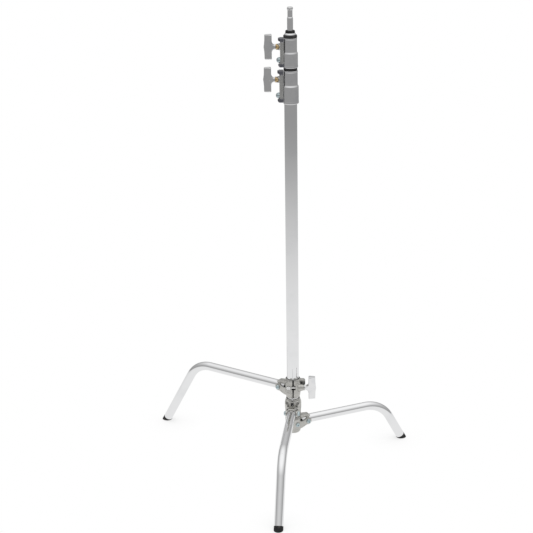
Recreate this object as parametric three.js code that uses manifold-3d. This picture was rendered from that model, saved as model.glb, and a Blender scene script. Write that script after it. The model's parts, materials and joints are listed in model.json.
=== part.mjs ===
// Light-duty grip stand: a three-section telescoping column on a turtle-style
// base with three bent tube legs, one of which slides up the column.
// Millimetres, +Z up. The origin is the centre of the flat underside of the
// base casting, on the column axis; the floor lies BASE_Z below it.
// Pieces are drawn with heights measured from the floor, and the group that
// holds them is lowered by BASE_Z.

import * as THREE from 'three';
import { mergeVertices } from 'three/addons/utils/BufferGeometryUtils.js';
import Module from 'manifold-3d';

const wasm = await Module();
wasm.setup();

const { degToRad } = THREE.MathUtils;
const QUARTER_TURN = Math.PI / 2;

// ---------------------------------------------------------------- dimensions
const BASE_Z = 93;            // underside of the base casting above the floor
const SIDES = 20;             // facets on the column family of round parts
const FIT = 0.3;              // usual gap between a part and its neighbour

// column and risers, outermost first
const COLUMN_WALL = 1.4;
const columnSection = (radius, bottom, top) =>
  ({ radius, bore: radius - COLUMN_WALL, bottom, top });
const COLUMN = columnSection(17.5, 98.5, 1129);
const RISER1 = columnSection(15, 130, 1221);
const RISER2 = columnSection(12.5, 170, 1269);

const CAP_TOP = 1275;         // top of the cap on the second riser
const SPIGOT_R = 8;
const SPIGOT_GROOVE_R = 6.7;
const SPIGOT_TOP = 1344;

const LEG_R = 12.7;
const LEG_BORE = LEG_R - 1.6;
const LEG_INNER = 24.5;       // inner end of each leg tube from the column axis
const LEG_FACETS = 14;
const BEND_R = 92;            // centre-line radius of the knee
const BEND_STEPS = 4;
const FOOT_PLANE = 9.5;       // height of the tube's outer end on its axis

const BOLT_R = 4;
const BOLT_HOLE_R = 4.4;
const BOLT_REACH = 41;        // leg bolt from the column axis

// azimuth in degrees, hub = height of the tube's inner end, knee = [x, z] where
// the two straight centre lines meet, foot = x where the outer one meets the
// floor, head = side of Y that carries the bolt head
const LONG = {
  name: 'long', azimuth: 143.29, hub: 231.5, knee: [356, 221], foot: 485, head: 1,
};
const MIDDLE = {
  name: 'middle', azimuth: -96.73, hub: 169.5, knee: [319, 169], foot: 421.6, head: -1,
};
const SHORT = {
  name: 'short', azimuth: 23.16, hub: 125, knee: [289, 126.5], foot: 359, head: -1,
};

// Riser clamps. flat = the collar's flat from the axis, screw = height of the
// tee screw; top, bottom and bolt are heights relative to the screw.
// collar and ring are outlines of [radius, height].
const LOWER = {
  name: 'column', outerTube: COLUMN, innerTube: RISER1,
  flat: 19.5, screw: 1147, top: 25, bottom: -62, bolt: -44,
  collar: [
    [0, 1081], [21.6, 1081], [22.2, 1082], [22.2, 1129],
    [19.6, 1133], [19.6, 1171.7], [18.8, 1172.7], [0, 1172.7],
  ],
  ring: [
    [RISER1.radius + FIT, 1158], [16.4, 1158], [16.4, 1173], [18.2, 1173],
    [18.75, 1174], [18.75, 1179], [18.2, 1180], [RISER1.radius + FIT, 1180],
  ],
};
const UPPER = {
  name: 'riser1', outerTube: RISER1, innerTube: RISER2,
  flat: 17, screw: 1237, top: 24, bottom: -54.5, bolt: -36.2,
  collar: [
    [0, 1180.4], [19.9, 1180.4], [20.5, 1181.4], [20.5, 1220],
    [18.3, 1224], [18.3, 1261], [17.5, 1261.8], [0, 1261.8],
  ],
  ring: [
    [RISER2.radius + FIT, 1248], [14.2, 1248], [14.2, 1262.1], [17.9, 1262.1],
    [18.75, 1263], [18.75, 1268], [17.9, 1269], [RISER2.radius + FIT, 1269],
  ],
};
const CLAMP_WIDTH = 23;
const COLLAR_FLAT_HALF = 12.5;                    // half width of the collar's flat side
const SHOE = { halfWidth: 7.1, halfHeight: 9 };
const WINDOW = { halfWidth: 7.5, halfHeight: 9.5 };   // opening round the brake shoe
const SHOE_BACK = 3;          // back of the brake shoe beyond the collar flat
const SEAT = 22.7;            // tee handle seat beyond the collar flat
const SCREW_R = 4.5;
const SCREW_SOCKET = 16;      // depth of the tee screw in its handle

// sliding collar of the long leg
const LINER_R = 18.6;
const SPLIT_SCREW = { seat: 34.3, y: -26, z: 244, reach: 55 };   // in the stand's axes

// ------------------------------------------------------------------ materials
const finish = (settings) => () => new THREE.MeshStandardMaterial(settings);
const chrome = finish({ color: 0xe6e7e8, roughness: 0.08, metalness: 1 });
const cast = finish({ color: 0xaaa8a0, roughness: 0.38, metalness: 0.95 });
const castChrome = finish({ color: 0xdcdcdb, roughness: 0.14, metalness: 1 });
const zinc = finish({ color: 0x9fb0b4, roughness: 0.3, metalness: 1 });
const steel = finish({ color: 0xc4c4c2, roughness: 0.22, metalness: 1 });
const brass = finish({ color: 0xb08b54, roughness: 0.28, metalness: 1 });
const nylon = finish({ color: 0x141414, roughness: 0.55, metalness: 0 });
const rubber = finish({ color: 0x101010, roughness: 0.8, metalness: 0 });

// --------------------------------------------------------------- solid helpers
// A closed geometry as a solid with its faces turned outward. A shape that is
// already a solid is passed through.
function solid(shape) {
  if (!shape.isBufferGeometry) return shape;
  // without normals and uvs, corners that share a place can merge
  shape.deleteAttribute('normal');
  shape.deleteAttribute('uv');
  const merged = mergeVertices(shape, 1e-4);
  const { position } = merged.attributes;
  const corner = (i) => new THREE.Vector3().fromBufferAttribute(position, i);
  const index = merged.index.array;
  let triangles = [];
  let volume = 0;
  for (let i = 0; i < index.length; i += 3) {
    const [first, second, third] = [index[i], index[i + 1], index[i + 2]];
    if (first === second || second === third || first === third) continue;
    triangles.push([first, second, third]);
    volume += corner(first).dot(corner(second).cross(corner(third)));
  }
  if (volume < 0) {
    triangles = triangles.map(([first, second, third]) => [first, third, second]);
  }
  return new wasm.Manifold(new wasm.Mesh({
    numProp: 3,
    vertProperties: new Float32Array(position.array),
    triVerts: new Uint32Array(triangles.flat()),
  }));
}

const join = (...shapes) => shapes.map((shape) => solid(shape)).reduce((all, next) => all.add(next));
const cut = (body, ...tools) =>
  tools.reduce((rest, tool) => rest.subtract(solid(tool)), solid(body));

function piece(name, shape, material) {
  const data = solid(shape).asOriginal().simplify(0.01).getMesh();
  const geometry = new THREE.BufferGeometry();
  geometry.setAttribute('position',
    new THREE.BufferAttribute(new Float32Array(data.vertProperties), 3));
  geometry.setIndex(new THREE.BufferAttribute(new Uint32Array(data.triVerts), 1));
  geometry.computeVertexNormals();
  const mesh = new THREE.Mesh(geometry, material());
  mesh.name = name;
  return mesh;
}

// ------------------------------------------------------------ geometry helpers
// turned outline of [radius, height] points about +Z; an outline that does not
// start and end on the axis is closed into a ring
function lathe(outline, segments = SIDES) {
  const points = outline.map(([radius, z]) => new THREE.Vector2(radius, z));
  const onAxis = outline[0][0] < 1e-6 && outline.at(-1)[0] < 1e-6;
  if (!onAxis) points.push(points[0].clone());
  return new THREE.LatheGeometry(points, segments).rotateX(QUARTER_TURN);
}

// turned outline of [radius, distance] points about +X
const latheX = (outline, segments) => lathe(outline, segments).rotateY(QUARTER_TURN);

const ring = (radius, bore, z0, z1) =>
  lathe([[bore, z0], [radius, z0], [radius, z1], [bore, z1]]);

const box = (x0, x1, y0, y1, z0, z1) =>
  new THREE.BoxGeometry(x1 - x0, y1 - y0, z1 - z0)
    .translate((x0 + x1) / 2, (y0 + y1) / 2, (z0 + z1) / 2);

// rods along Z, X and Y
const rod = (radius, z0, z1, segments = SIDES) =>
  new THREE.CylinderGeometry(radius, radius, z1 - z0, segments)
    .rotateX(QUARTER_TURN).translate(0, 0, (z0 + z1) / 2);
const rodX = (radius, x0, x1, segments) =>
  new THREE.CylinderGeometry(radius, radius, x1 - x0, segments)
    .rotateZ(QUARTER_TURN).translate((x0 + x1) / 2, 0, 0);
const rodY = (radius, y0, y1, segments) =>
  new THREE.CylinderGeometry(radius, radius, y1 - y0, segments)
    .translate(0, (y0 + y1) / 2, 0);

// side outline of [x, z] points, extruded symmetrically across Y
function slab(outline, width, bevel = 0) {
  const shape = new THREE.Shape(outline.map(([x, z]) => new THREE.Vector2(x, z)));
  const depth = width - 2 * bevel;
  return new THREE.ExtrudeGeometry(shape, {
    depth,
    bevelEnabled: bevel > 0,
    bevelThickness: bevel,
    bevelSize: bevel,
    bevelOffset: -bevel,
    bevelSegments: 1,
  }).translate(0, 0, -depth / 2).rotateX(QUARTER_TURN);
}

// turns a geometry so that one direction becomes another, then moves it
const aim = (geometry, from, to, place) =>
  geometry.applyQuaternion(new THREE.Quaternion().setFromUnitVectors(from, to))
    .translate(place.x, place.y, place.z);

const circle = (radius, count) => Array.from({ length: count }, (_, i) => {
  const angle = (2 * Math.PI * i) / count;
  return new THREE.Vector2(radius * Math.cos(angle), radius * Math.sin(angle));
});

// extrusion path that passes exactly through stations of point and tangent
class StationCurve extends THREE.Curve {
  constructor(stations) {
    super();
    this.stations = stations;
  }

  getSpacedPoints() {
    return this.stations.map(({ point }) => point.clone());
  }

  getTangentAt(fraction, target = new THREE.Vector3()) {
    const i = Math.round(fraction * (this.stations.length - 1));
    return target.copy(this.stations[i].tangent);
  }
}

// ------------------------------------------------------------------ leg pieces
// All leg pieces are drawn in the leg's own frame: X outward, Z from the floor.

// centre line: two straight runs joined by an arc at the knee
function legPath(leg) {
  const hub = new THREE.Vector3(LEG_INNER, 0, leg.hub);
  const knee = new THREE.Vector3(leg.knee[0], 0, leg.knee[1]);
  const foot = new THREE.Vector3(leg.foot, 0, 0);
  const hubRun = knee.clone().sub(hub).normalize();
  const footRun = foot.clone().sub(knee).normalize();
  const cosTurn = hubRun.dot(footRun);
  const turn = Math.acos(cosTurn);
  const inward = footRun.clone().addScaledVector(hubRun, -cosTurn).normalize();
  const centre = knee.clone()
    .addScaledVector(hubRun, -BEND_R * Math.tan(turn / 2))
    .addScaledVector(inward, BEND_R);

  const stations = [{ point: hub, tangent: hubRun }];
  for (let i = 0; i <= BEND_STEPS; i++) {
    const angle = (turn * i) / BEND_STEPS;
    stations.push({
      point: centre.clone()
        .addScaledVector(inward, -BEND_R * Math.cos(angle))
        .addScaledVector(hubRun, BEND_R * Math.sin(angle)),
      tangent: hubRun.clone().multiplyScalar(Math.cos(angle))
        .addScaledVector(inward, Math.sin(angle)),
    });
  }
  const end = foot.clone().addScaledVector(footRun, FOOT_PLANE / footRun.z);
  stations.push({ point: end, tangent: footRun });
  return { stations, hub, hubRun, footRun, end };
}

const legSlope = (leg) => (leg.knee[1] - leg.hub) / (leg.knee[0] - LEG_INNER);

// the bolt passes 1 mm below the tube's axis
const boltHeight = (leg) => leg.hub + legSlope(leg) * (BOLT_REACH - LEG_INNER) - 1;

const legBoltHole = (leg) =>
  rodY(BOLT_HOLE_R, -30, 30, 12).translate(BOLT_REACH, 0, boltHeight(leg));

function legTube(leg) {
  const { stations } = legPath(leg);
  const shape = new THREE.Shape(circle(LEG_R, LEG_FACETS));
  shape.holes.push(new THREE.Path(circle(LEG_BORE, LEG_FACETS)));
  const tube = new THREE.ExtrudeGeometry(shape, {
    steps: stations.length - 1,
    bevelEnabled: false,
    extrudePath: new StationCurve(stations),
  });
  return cut(tube, legBoltHole(leg));
}

// rubber end cap: plug in the bore and a wedge that stands flat on the floor
function legFoot(leg) {
  const { footRun, end } = legPath(leg);
  const capR = LEG_R + 0.5;
  const plugR = LEG_BORE - FIT;
  const cap = lathe([
    [0, -40], [capR, -40], [capR, -0.3], [plugR, -0.3],
    [plugR, 18], [LEG_BORE - 2, 20], [0, 20],
  ], LEG_FACETS);
  return cut(aim(cap, new THREE.Vector3(0, 0, -1), footRun, end),
    box(end.x - 80, end.x + 80, -60, 60, -80, 0));
}

// lays a part drawn along +Z across the leg, +Z toward the bolt head's side
const acrossLeg = (leg, geometry) =>
  geometry.rotateX(-leg.head * QUARTER_TURN).translate(BOLT_REACH, 0, boltHeight(leg));

const legBolt = (leg) => acrossLeg(leg, lathe([
  [0, -21.5], [BOLT_R, -21.5], [BOLT_R, 17.8], [6.6, 17.8], [6.6, 20.4], [5.4, 22.4], [0, 23],
], 12));

const legNut = (leg) => cut(
  acrossLeg(leg, rod(7.2, -23.5, -17.8, 6)),
  acrossLeg(leg, rod(4.35, -30, -10, 16)));

// cast fork round the tube: lower arm with two cheeks, short upper lip.
// Outlines are [x, height above the tube's axis] before the fork is tilted.
function fork(leg) {
  const place = (geometry) => geometry.translate(-LEG_INNER, 0, 0)
    .rotateY(-Math.atan(legSlope(leg))).translate(LEG_INNER, 0, leg.hub);
  const arm = [[8, -20.5], [20, -19.5], [33, -13.8]];
  const cheekR = 10.8;
  for (let degrees = -108; degrees <= 108; degrees += 36) {
    const angle = degToRad(degrees);
    arm.push([BOLT_REACH + cheekR * Math.cos(angle), -1 + cheekR * Math.sin(angle)]);
  }
  arm.push([32, 5.4], [25, 2.4], [8, 2]);
  const lip = [[8, 6], [49.5, 6], [50.5, 13.4], [48.5, 15.8], [40, 17.2], [8, 19.2]];
  return join(place(slab(arm, 35, 1.6)), place(slab(lip, 19, 1.6)));
}

// socket for the tube and hole for the leg bolt
function forkCuts(leg) {
  const { hub, hubRun } = legPath(leg);
  const socket = rod(LEG_R + 0.5, -0.4, 60, 16);
  return [aim(socket, new THREE.Vector3(0, 0, 1), hubRun, hub), legBoltHole(leg)];
}

const hubBore = (leg, radius) => rod(radius, leg.hub - 80, leg.hub + 80);

function legGroup(leg, casting) {
  const group = new THREE.Group();
  group.rotation.z = degToRad(leg.azimuth);
  group.add(
    casting,
    piece(`${leg.name}_leg_tube`, legTube(leg), chrome),
    piece(`${leg.name}_leg_foot`, legFoot(leg), rubber),
    piece(`${leg.name}_leg_bolt`, legBolt(leg), zinc),
    piece(`${leg.name}_leg_nut`, legNut(leg), zinc));
  return group;
}

// --------------------------------------------------------------- tee handles
// Handle axis along +X from its seat at x = 0; the bar stands along Z.
function teeHandle() {
  // upper half of the bar's outline, [x, z]
  const half = [
    [0, 5.2], [4, 5.6], [7.6, 8], [9.6, 11.2], [10.2, 15], [10.2, 32.2], [11.2, 33.8],
    [13, 34.3], [27.6, 34.3], [29.3, 33], [29.8, 30], [30, 18], [30.9, 8],
  ];
  const mirrored = half.map(([x, z]) => [x, -z]).reverse();
  const bar = slab([...half, [32.2, 0], ...mirrored], 15.5);
  const neck = latheX([[0, 0], [7, 0], [7, 3], [6.4, 6], [7.4, 12], [0, 12]], 12);
  return cut(join(bar, neck), rodX(SCREW_R + FIT, -2, SCREW_SOCKET + FIT, 16));
}

// threaded stud from inside the handle to its tip at x = -reach
const teeScrew = (reach) => latheX([
  [0, -reach], [SCREW_R - 1, -reach], [SCREW_R, -reach + 1.2],
  [SCREW_R, SCREW_SOCKET], [0, SCREW_SOCKET],
], 16);

function teeGroup(name, reach) {
  const group = new THREE.Group();
  group.add(
    piece(`${name}_tee_handle`, teeHandle(), castChrome),
    piece(`${name}_tee_screw`, teeScrew(reach), steel));
  return group;
}

// -------------------------------------------------------------- riser clamps
// Clamp frame: +X outward from the column axis, Z from the tee screw.
function clampBlock({ flat, top, bottom, bolt }) {
  const side = [
    [flat + 0.4, bottom], [flat + 13, bottom], [flat + 16, bottom + 3.5],
    [flat + 16, bottom + 6.6], [flat + 8.4, bottom + 8.2], [flat + 8.4, top - 8.5],
    [flat + 16, top - 7.5], [flat + 16, top], [flat + 0.4, top],
  ];
  const boss = latheX([
    [0, flat + 5], [11, flat + 5], [10.6, flat + 9], [8.3, flat + 18], [0, flat + 18],
  ], 20);
  const pad = latheX([[0, flat + 5], [9.5, flat + 5], [9.5, flat + 9.4], [0, flat + 9.4]], 16);
  const { halfWidth, halfHeight } = WINDOW;
  return cut(join(slab(side, CLAMP_WIDTH, 1.2), boss, pad.translate(0, 0, bolt)),
    box(flat - 5, flat + SHOE_BACK + 3, -halfWidth, halfWidth, -halfHeight, halfHeight),
    rodX(5.2, flat, flat + 12, 16),
    rodX(6.4, flat + 9.6, flat + 30, 16),
    rodX(BOLT_HOLE_R, flat - 5, flat + 30, 12).translate(0, 0, bolt));
}

// flanged bush round the tee screw
const clampInsert = ({ flat }) => latheX([
  [SCREW_R + 0.45, flat + 10], [6.1, flat + 10], [6.1, flat + 18.3], [8, flat + 18.3],
  [8, flat + 22.2], [SCREW_R + 0.45, flat + 22.2],
], 14);

// domed cap bolt that also pins the collar to its tube
function clampBolt({ flat, bolt, innerTube }) {
  const tip = innerTube.radius + 1.4;
  return latheX([
    [0, tip], [BOLT_R, tip], [BOLT_R, flat + 9.8], [8, flat + 9.8], [8, flat + 14.2],
    [6.6, flat + 18], [3.6, flat + 20.3], [0, flat + 21],
  ], 12).translate(0, 0, bolt);
}

function brakeShoe({ flat, innerTube: { radius } }) {
  const { halfWidth, halfHeight } = SHOE;
  return cut(
    box(radius - 3.5, flat + SHOE_BACK, -halfWidth, halfWidth, -halfHeight, halfHeight),
    rod(radius + 0.4, -20, 20));
}

// the clamp frame is turned so that the clamp stands on the stand's -X side
function clampGroup(clamp) {
  const group = new THREE.Group();
  group.position.z = clamp.screw;
  group.rotation.z = Math.PI;
  const tee = teeGroup(clamp.name, SEAT - SHOE_BACK - FIT);
  tee.position.x = clamp.flat + SEAT;
  group.add(
    piece(`${clamp.name}_clamp_block`, clampBlock(clamp), cast),
    piece(`${clamp.name}_clamp_insert`, clampInsert(clamp), brass),
    piece(`${clamp.name}_clamp_bolt`, clampBolt(clamp), zinc),
    piece(`${clamp.name}_brake_shoe`, brakeShoe(clamp), nylon),
    tee);
  return group;
}

// hole for the clamp bolt, through the -X side of a tube or collar
const pinHole = ({ screw, bolt }) =>
  rodX(BOLT_HOLE_R, -60, 0, 12).translate(0, 0, screw + bolt);

// turned collar with a flat side, a shoe window and the bolt hole
function collar(clamp) {
  const { flat, screw, outerTube, innerTube } = clamp;
  const bottom = clamp.collar[0][1];
  const top = clamp.collar.at(-1)[1];
  const [plugR, plugBottom] = clamp.ring[1];
  const lowerR = outerTube.radius + FIT;
  const middleR = innerTube.radius + 0.5;
  const upperR = plugR + FIT;
  const shoulder = outerTube.top + 0.5;
  const ringSeat = plugBottom - 0.5;
  const bore = lathe([
    [0, bottom - 10], [lowerR, bottom - 10], [lowerR, shoulder], [middleR, shoulder],
    [middleR, ringSeat], [upperR, ringSeat], [upperR, top + 10], [0, top + 10],
  ]);
  const flange = box(-flat, -6, -COLLAR_FLAT_HALF, COLLAR_FLAT_HALF, bottom + 0.6, top - 0.6);
  const { halfWidth, halfHeight } = WINDOW;
  return cut(join(lathe(clamp.collar), flange),
    bore,
    box(-60, -flat, -30, 30, bottom - 5, top + 5),
    box(-60, 0, -halfWidth, halfWidth, screw - halfHeight, screw + halfHeight),
    pinHole(clamp));
}

// tube with the collar, nylon ring and clamp at its top
const clampedTube = (clamp) => [
  piece(`${clamp.name}_tube`, cut(sectionTube(clamp.outerTube), pinHole(clamp)), chrome),
  piece(`${clamp.name}_collar`, collar(clamp), castChrome),
  piece(`${clamp.name}_collar_ring`, lathe(clamp.ring), nylon),
  clampGroup(clamp),
];

// ---------------------------------------------------------- column and risers
function sectionTube({ radius, bore, bottom, top }) {
  return ring(radius, bore, bottom, top);
}

// bush at the foot of a riser: slides in the outer tube, plugs into the riser
function guideBush({ riser, outerTube, bore, below, above }) {
  const slideR = outerTube.bore - 0.3;
  const plugR = riser.bore - 0.4;
  const shoulder = riser.bottom - 0.5;
  const bottom = riser.bottom - below;
  const top = riser.bottom + above;
  return lathe([
    [bore, bottom], [slideR, bottom], [slideR, shoulder], [plugR, shoulder],
    [plugR, top], [bore, top],
  ]);
}
const riser1Bush = () =>
  guideBush({ riser: RISER1, outerTube: COLUMN, bore: 10.8, below: 22, above: 15 });
const riser2Bush = () =>
  guideBush({ riser: RISER2, outerTube: RISER1, bore: 8.6, below: 18, above: 14 });

function riser2Cap() {
  const bore = SPIGOT_R + FIT;
  const plugR = RISER2.bore - FIT;
  const shoulder = RISER2.top + FIT;
  return lathe([
    [bore, 1232], [plugR, 1232], [plugR, shoulder], [15.4, shoulder],
    [15.8, 1270.2], [15.2, 1272], [13.3, CAP_TOP], [bore, CAP_TOP],
  ]);
}

const spigot = () => lathe([
  [0, 1234], [SPIGOT_R, 1234], [SPIGOT_R, 1315.8], [SPIGOT_GROOVE_R, 1317.4],
  [SPIGOT_GROOVE_R, 1336.8], [SPIGOT_R, 1338.2], [SPIGOT_R, SPIGOT_TOP - 1],
  [SPIGOT_R - 1, SPIGOT_TOP], [0, SPIGOT_TOP],
], 16);

const bumperRing = () => lathe([
  [SPIGOT_R + FIT, CAP_TOP + FIT], [13.1, CAP_TOP + FIT], [13.1, 1280], [12.4, 1281],
  [SPIGOT_R + FIT, 1281],
]);

// ------------------------------------------------- base casting, short leg
const SET_BOLT = { x: 4, z: SHORT.hub - 3.5 };

function baseCasting() {
  const cup = lathe([
    [0, BASE_Z], [14.5, BASE_Z], [18.6, BASE_Z + 1.6], [21.4, BASE_Z + 5],
    [22.6, BASE_Z + 10], [22.6, 139], [20.6, 144], [0, 144],
  ]);
  return cut(join(cup, fork(SHORT)),
    rod(COLUMN.radius + FIT, COLUMN.bottom - FIT, 200),
    ...forkCuts(SHORT),
    rodY(3.9, -40, -10, 12).translate(SET_BOLT.x, 0, SET_BOLT.z));
}

// drawn along +Z, then laid with its head toward -Y
const baseSetBolt = () => lathe([
  [0, 17.9], [3.5, 17.9], [3.5, 22.9], [6.2, 22.9], [6.2, 25.6], [5, 26.8], [0, 27],
], 12).rotateX(QUARTER_TURN).translate(SET_BOLT.x, 0, SET_BOLT.z);

// --------------------------------------------------- middle hub, middle leg
function middleHub() {
  const sleeve = lathe([
    [0, 145], [20.8, 145], [22.4, 147], [22.6, 160], [24, 176], [24, 190],
    [19.8, 202.5], [0, 202.5],
  ]);
  const lobes = [-1, 1].map((side) =>
    new THREE.SphereGeometry(8.5, 10, 6).scale(1, 1, 1.35).translate(15, side * 14, 189));
  const pockets = [-1, 1].map((side) =>
    new THREE.SphereGeometry(3.4, 8, 4).scale(1.4, 1, 1.3).translate(22.8, side * 15, 192));
  return cut(join(sleeve, fork(MIDDLE), ...lobes),
    hubBore(MIDDLE, COLUMN.radius + FIT), ...forkCuts(MIDDLE), ...pockets);
}

// ----------------------------------------- sliding collar and its long leg
const onSplitScrew = (geometry) => geometry.translate(0, SPLIT_SCREW.y, SPLIT_SCREW.z);

// The split clamp faces the stand's -Y. Its features are drawn in the stand's
// axes and turned back into the long leg's frame.
function slidingCollar() {
  const turned = (geometry) => geometry.rotateZ(degToRad(-LONG.azimuth));
  const sleeve = lathe([
    [0, 205], [19.6, 205], [20.4, 209], [22.6, 222], [23, 226], [23, 259], [21, 264], [0, 264],
  ]);
  const ears = slab([
    [-18, 226], [16.5, 226], [20.5, 230], [20.5, 260],
    [18, 263], [-17, 263], [-20, 260], [-20, 228],
  ], 16, 1.2).translate(0, -22, 0);
  const boss = latheX([[0, 14], [11.5, 14], [11, 21], [8.4, 31.6], [0, 31.6]], 20);
  const lug = slab([
    [8, 247], [32, 247], [35.5, 250], [35.5, 259], [32, 263], [8, 264],
  ], 15, 1.4).translate(0, -9.5, 0);
  const split = box(-1.5, 1.5, -40, -10, 200, 275);
  const middlePocket = box(-4.6, 7, -14, 6.6, -6.6, 6.6);
  const nutPocket = box(-18.4, -7.6, -14, 6.6, -5.8, 5.8);
  const screwHole = rodX(5, -24, 40, 16);
  return cut(
    join(sleeve, fork(LONG), turned(ears), turned(onSplitScrew(boss)), turned(lug)),
    hubBore(LONG, LINER_R + FIT),
    ...forkCuts(LONG),
    turned(split),
    ...[middlePocket, nutPocket, screwHole].map((tool) => turned(onSplitScrew(tool))));
}

const squareNut = () => cut(
  onSplitScrew(box(-18, -8, -5.6, 5.6, -5.4, 5.4)),
  onSplitScrew(rodX(SCREW_R + 0.35, -30, 0, 16)));

const clampWasher = () => onSplitScrew(latheX([
  [SCREW_R + 0.35, 31.9], [8.6, 31.9], [8.6, 34], [SCREW_R + 0.35, 34],
], 16));

// ------------------------------------------------------------------ the stand
const stand = new THREE.Group();
const floorFrame = new THREE.Group();
floorFrame.position.z = -BASE_Z;
stand.add(floorFrame);

floorFrame.add(
  ...clampedTube(LOWER),
  piece('riser1_guide_bush', riser1Bush(), nylon),
  ...clampedTube(UPPER),
  piece('riser2_guide_bush', riser2Bush(), nylon),
  piece('riser2_tube', sectionTube(RISER2), chrome),
  piece('riser2_cap', riser2Cap(), chrome),
  piece('spigot', spigot(), chrome),
  piece('bumper_ring', bumperRing(), rubber));

const shortLeg = legGroup(SHORT, piece('base_casting', baseCasting(), cast));
shortLeg.add(piece('base_set_bolt', baseSetBolt(), zinc));

const legTee = teeGroup('leg', SPLIT_SCREW.reach);
legTee.position.set(SPLIT_SCREW.seat, SPLIT_SCREW.y, SPLIT_SCREW.z);

floorFrame.add(
  shortLeg,
  legGroup(MIDDLE, piece('middle_hub', middleHub(), cast)),
  piece('sliding_collar_liner', ring(LINER_R, COLUMN.radius + 0.35, 206, 263), nylon),
  legGroup(LONG, piece('sliding_collar', slidingCollar(), cast)),
  piece('collar_square_nut', squareNut(), steel),
  piece('leg_clamp_washer', clampWasher(), steel),
  legTee);

export default stand;
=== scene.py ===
"""A chrome stand: three cranked legs, a column and two telescoping risers with a spigot on top.

The column stands on the Z axis. The two riser clamps face -X, the split clamp of the sliding
collar faces -Y, towards the camera, and each leg leaves the column at its own azimuth.
Pieces are modelled in millimetres with heights from the floor; `finish` brings them into the
row frame (metres, origin at the underside of the base casting).
"""

import json
from math import acos, atan, cos, hypot, pi, radians, sin, sqrt, tan
from types import SimpleNamespace

import bmesh
import bpy
from mathutils import Matrix, Vector


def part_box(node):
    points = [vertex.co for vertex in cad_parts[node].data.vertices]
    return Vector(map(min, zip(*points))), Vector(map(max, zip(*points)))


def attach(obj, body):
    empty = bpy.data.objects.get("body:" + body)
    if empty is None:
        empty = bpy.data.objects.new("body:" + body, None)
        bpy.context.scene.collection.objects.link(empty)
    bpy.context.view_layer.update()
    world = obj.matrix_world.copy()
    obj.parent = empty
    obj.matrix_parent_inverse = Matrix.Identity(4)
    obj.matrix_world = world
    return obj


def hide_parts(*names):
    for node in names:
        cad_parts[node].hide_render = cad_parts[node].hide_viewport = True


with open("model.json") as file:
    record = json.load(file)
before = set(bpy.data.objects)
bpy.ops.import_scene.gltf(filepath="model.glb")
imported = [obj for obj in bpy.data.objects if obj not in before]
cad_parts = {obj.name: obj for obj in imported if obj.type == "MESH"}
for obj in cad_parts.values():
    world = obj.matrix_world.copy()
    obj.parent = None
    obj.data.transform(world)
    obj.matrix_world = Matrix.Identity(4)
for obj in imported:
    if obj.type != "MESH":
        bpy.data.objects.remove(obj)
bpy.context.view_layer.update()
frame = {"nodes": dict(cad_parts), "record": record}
scene = bpy.context.scene
nodes = frame["nodes"]


def shift(x, y, z):
    return Matrix.Translation((x, y, z))


def rotate(degrees, axis):
    return Matrix.Rotation(radians(degrees), 4, axis)


BASE = 93.0  # underside of the base casting above the floor
MM = 0.001
ROW = Matrix.Scale(MM, 4) @ shift(0, 0, -BASE)

# Tube radii, outer and bore
TUBE_WALL = 1.4
COLUMN_R = 17.5
RISER1_R = 15.0
RISER2_R = 12.5
LEG_R = 12.7
LEG_BORE = LEG_R - 1.6
BORE_GAP = 0.3  # radial play between a tube and the part around it


def heights(node):
    """Bottom and top of a CAD node in mm from the floor."""
    lo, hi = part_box(node)
    return lo.z * 1000 + BASE, hi.z * 1000 + BASE


# ------------------------------------------------------------------ mesh tools
def object_from(work, name="tmp"):
    bmesh.ops.recalc_face_normals(work, faces=work.faces[:])
    mesh = bpy.data.meshes.new(name)
    work.to_mesh(mesh)
    work.free()
    return link_object(name, mesh)


def link_object(name, data):
    made = bpy.data.objects.new(name, data)
    scene.collection.objects.link(made)
    return made


def fillet(points, radius=0.6, steps=3, closed=True):
    """Rounds a polygon's corners; a point may carry its own radius as a third number."""
    rounded = []
    count = len(points)
    for i, point in enumerate(points):
        corner = Vector(point[:2])
        own_radius = point[2] if len(point) > 2 else radius
        open_end = not closed and i in (0, count - 1)
        if open_end or own_radius <= 0 or corner.x < 1e-6:
            rounded.append(corner)
            continue
        back = Vector(points[i - 1][:2]) - corner
        ahead = Vector(points[(i + 1) % count][:2]) - corner
        back_length, ahead_length = back.length, ahead.length
        back, ahead = back / back_length, ahead / ahead_length
        angle = acos(max(-1, min(1, back.dot(ahead))))
        if angle > radians(172):
            rounded.append(corner)
            continue
        # a fillet takes up at most 46% of either edge
        trim = min(own_radius / tan(angle / 2), 0.46 * back_length, 0.46 * ahead_length)
        own_radius = trim * tan(angle / 2)
        centre = corner + (back + ahead).normalized() * (own_radius / sin(angle / 2))
        start, end = corner + back * trim - centre, corner + ahead * trim - centre
        sweep = start.angle(end)
        if start.x * end.y - start.y * end.x < 0:
            sweep = -sweep
        for k in range(steps + 1):
            turn = sweep * k / steps
            rounded.append(centre + Vector((start.x * cos(turn) - start.y * sin(turn),
                                            start.x * sin(turn) + start.y * cos(turn))))
    return rounded


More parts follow.
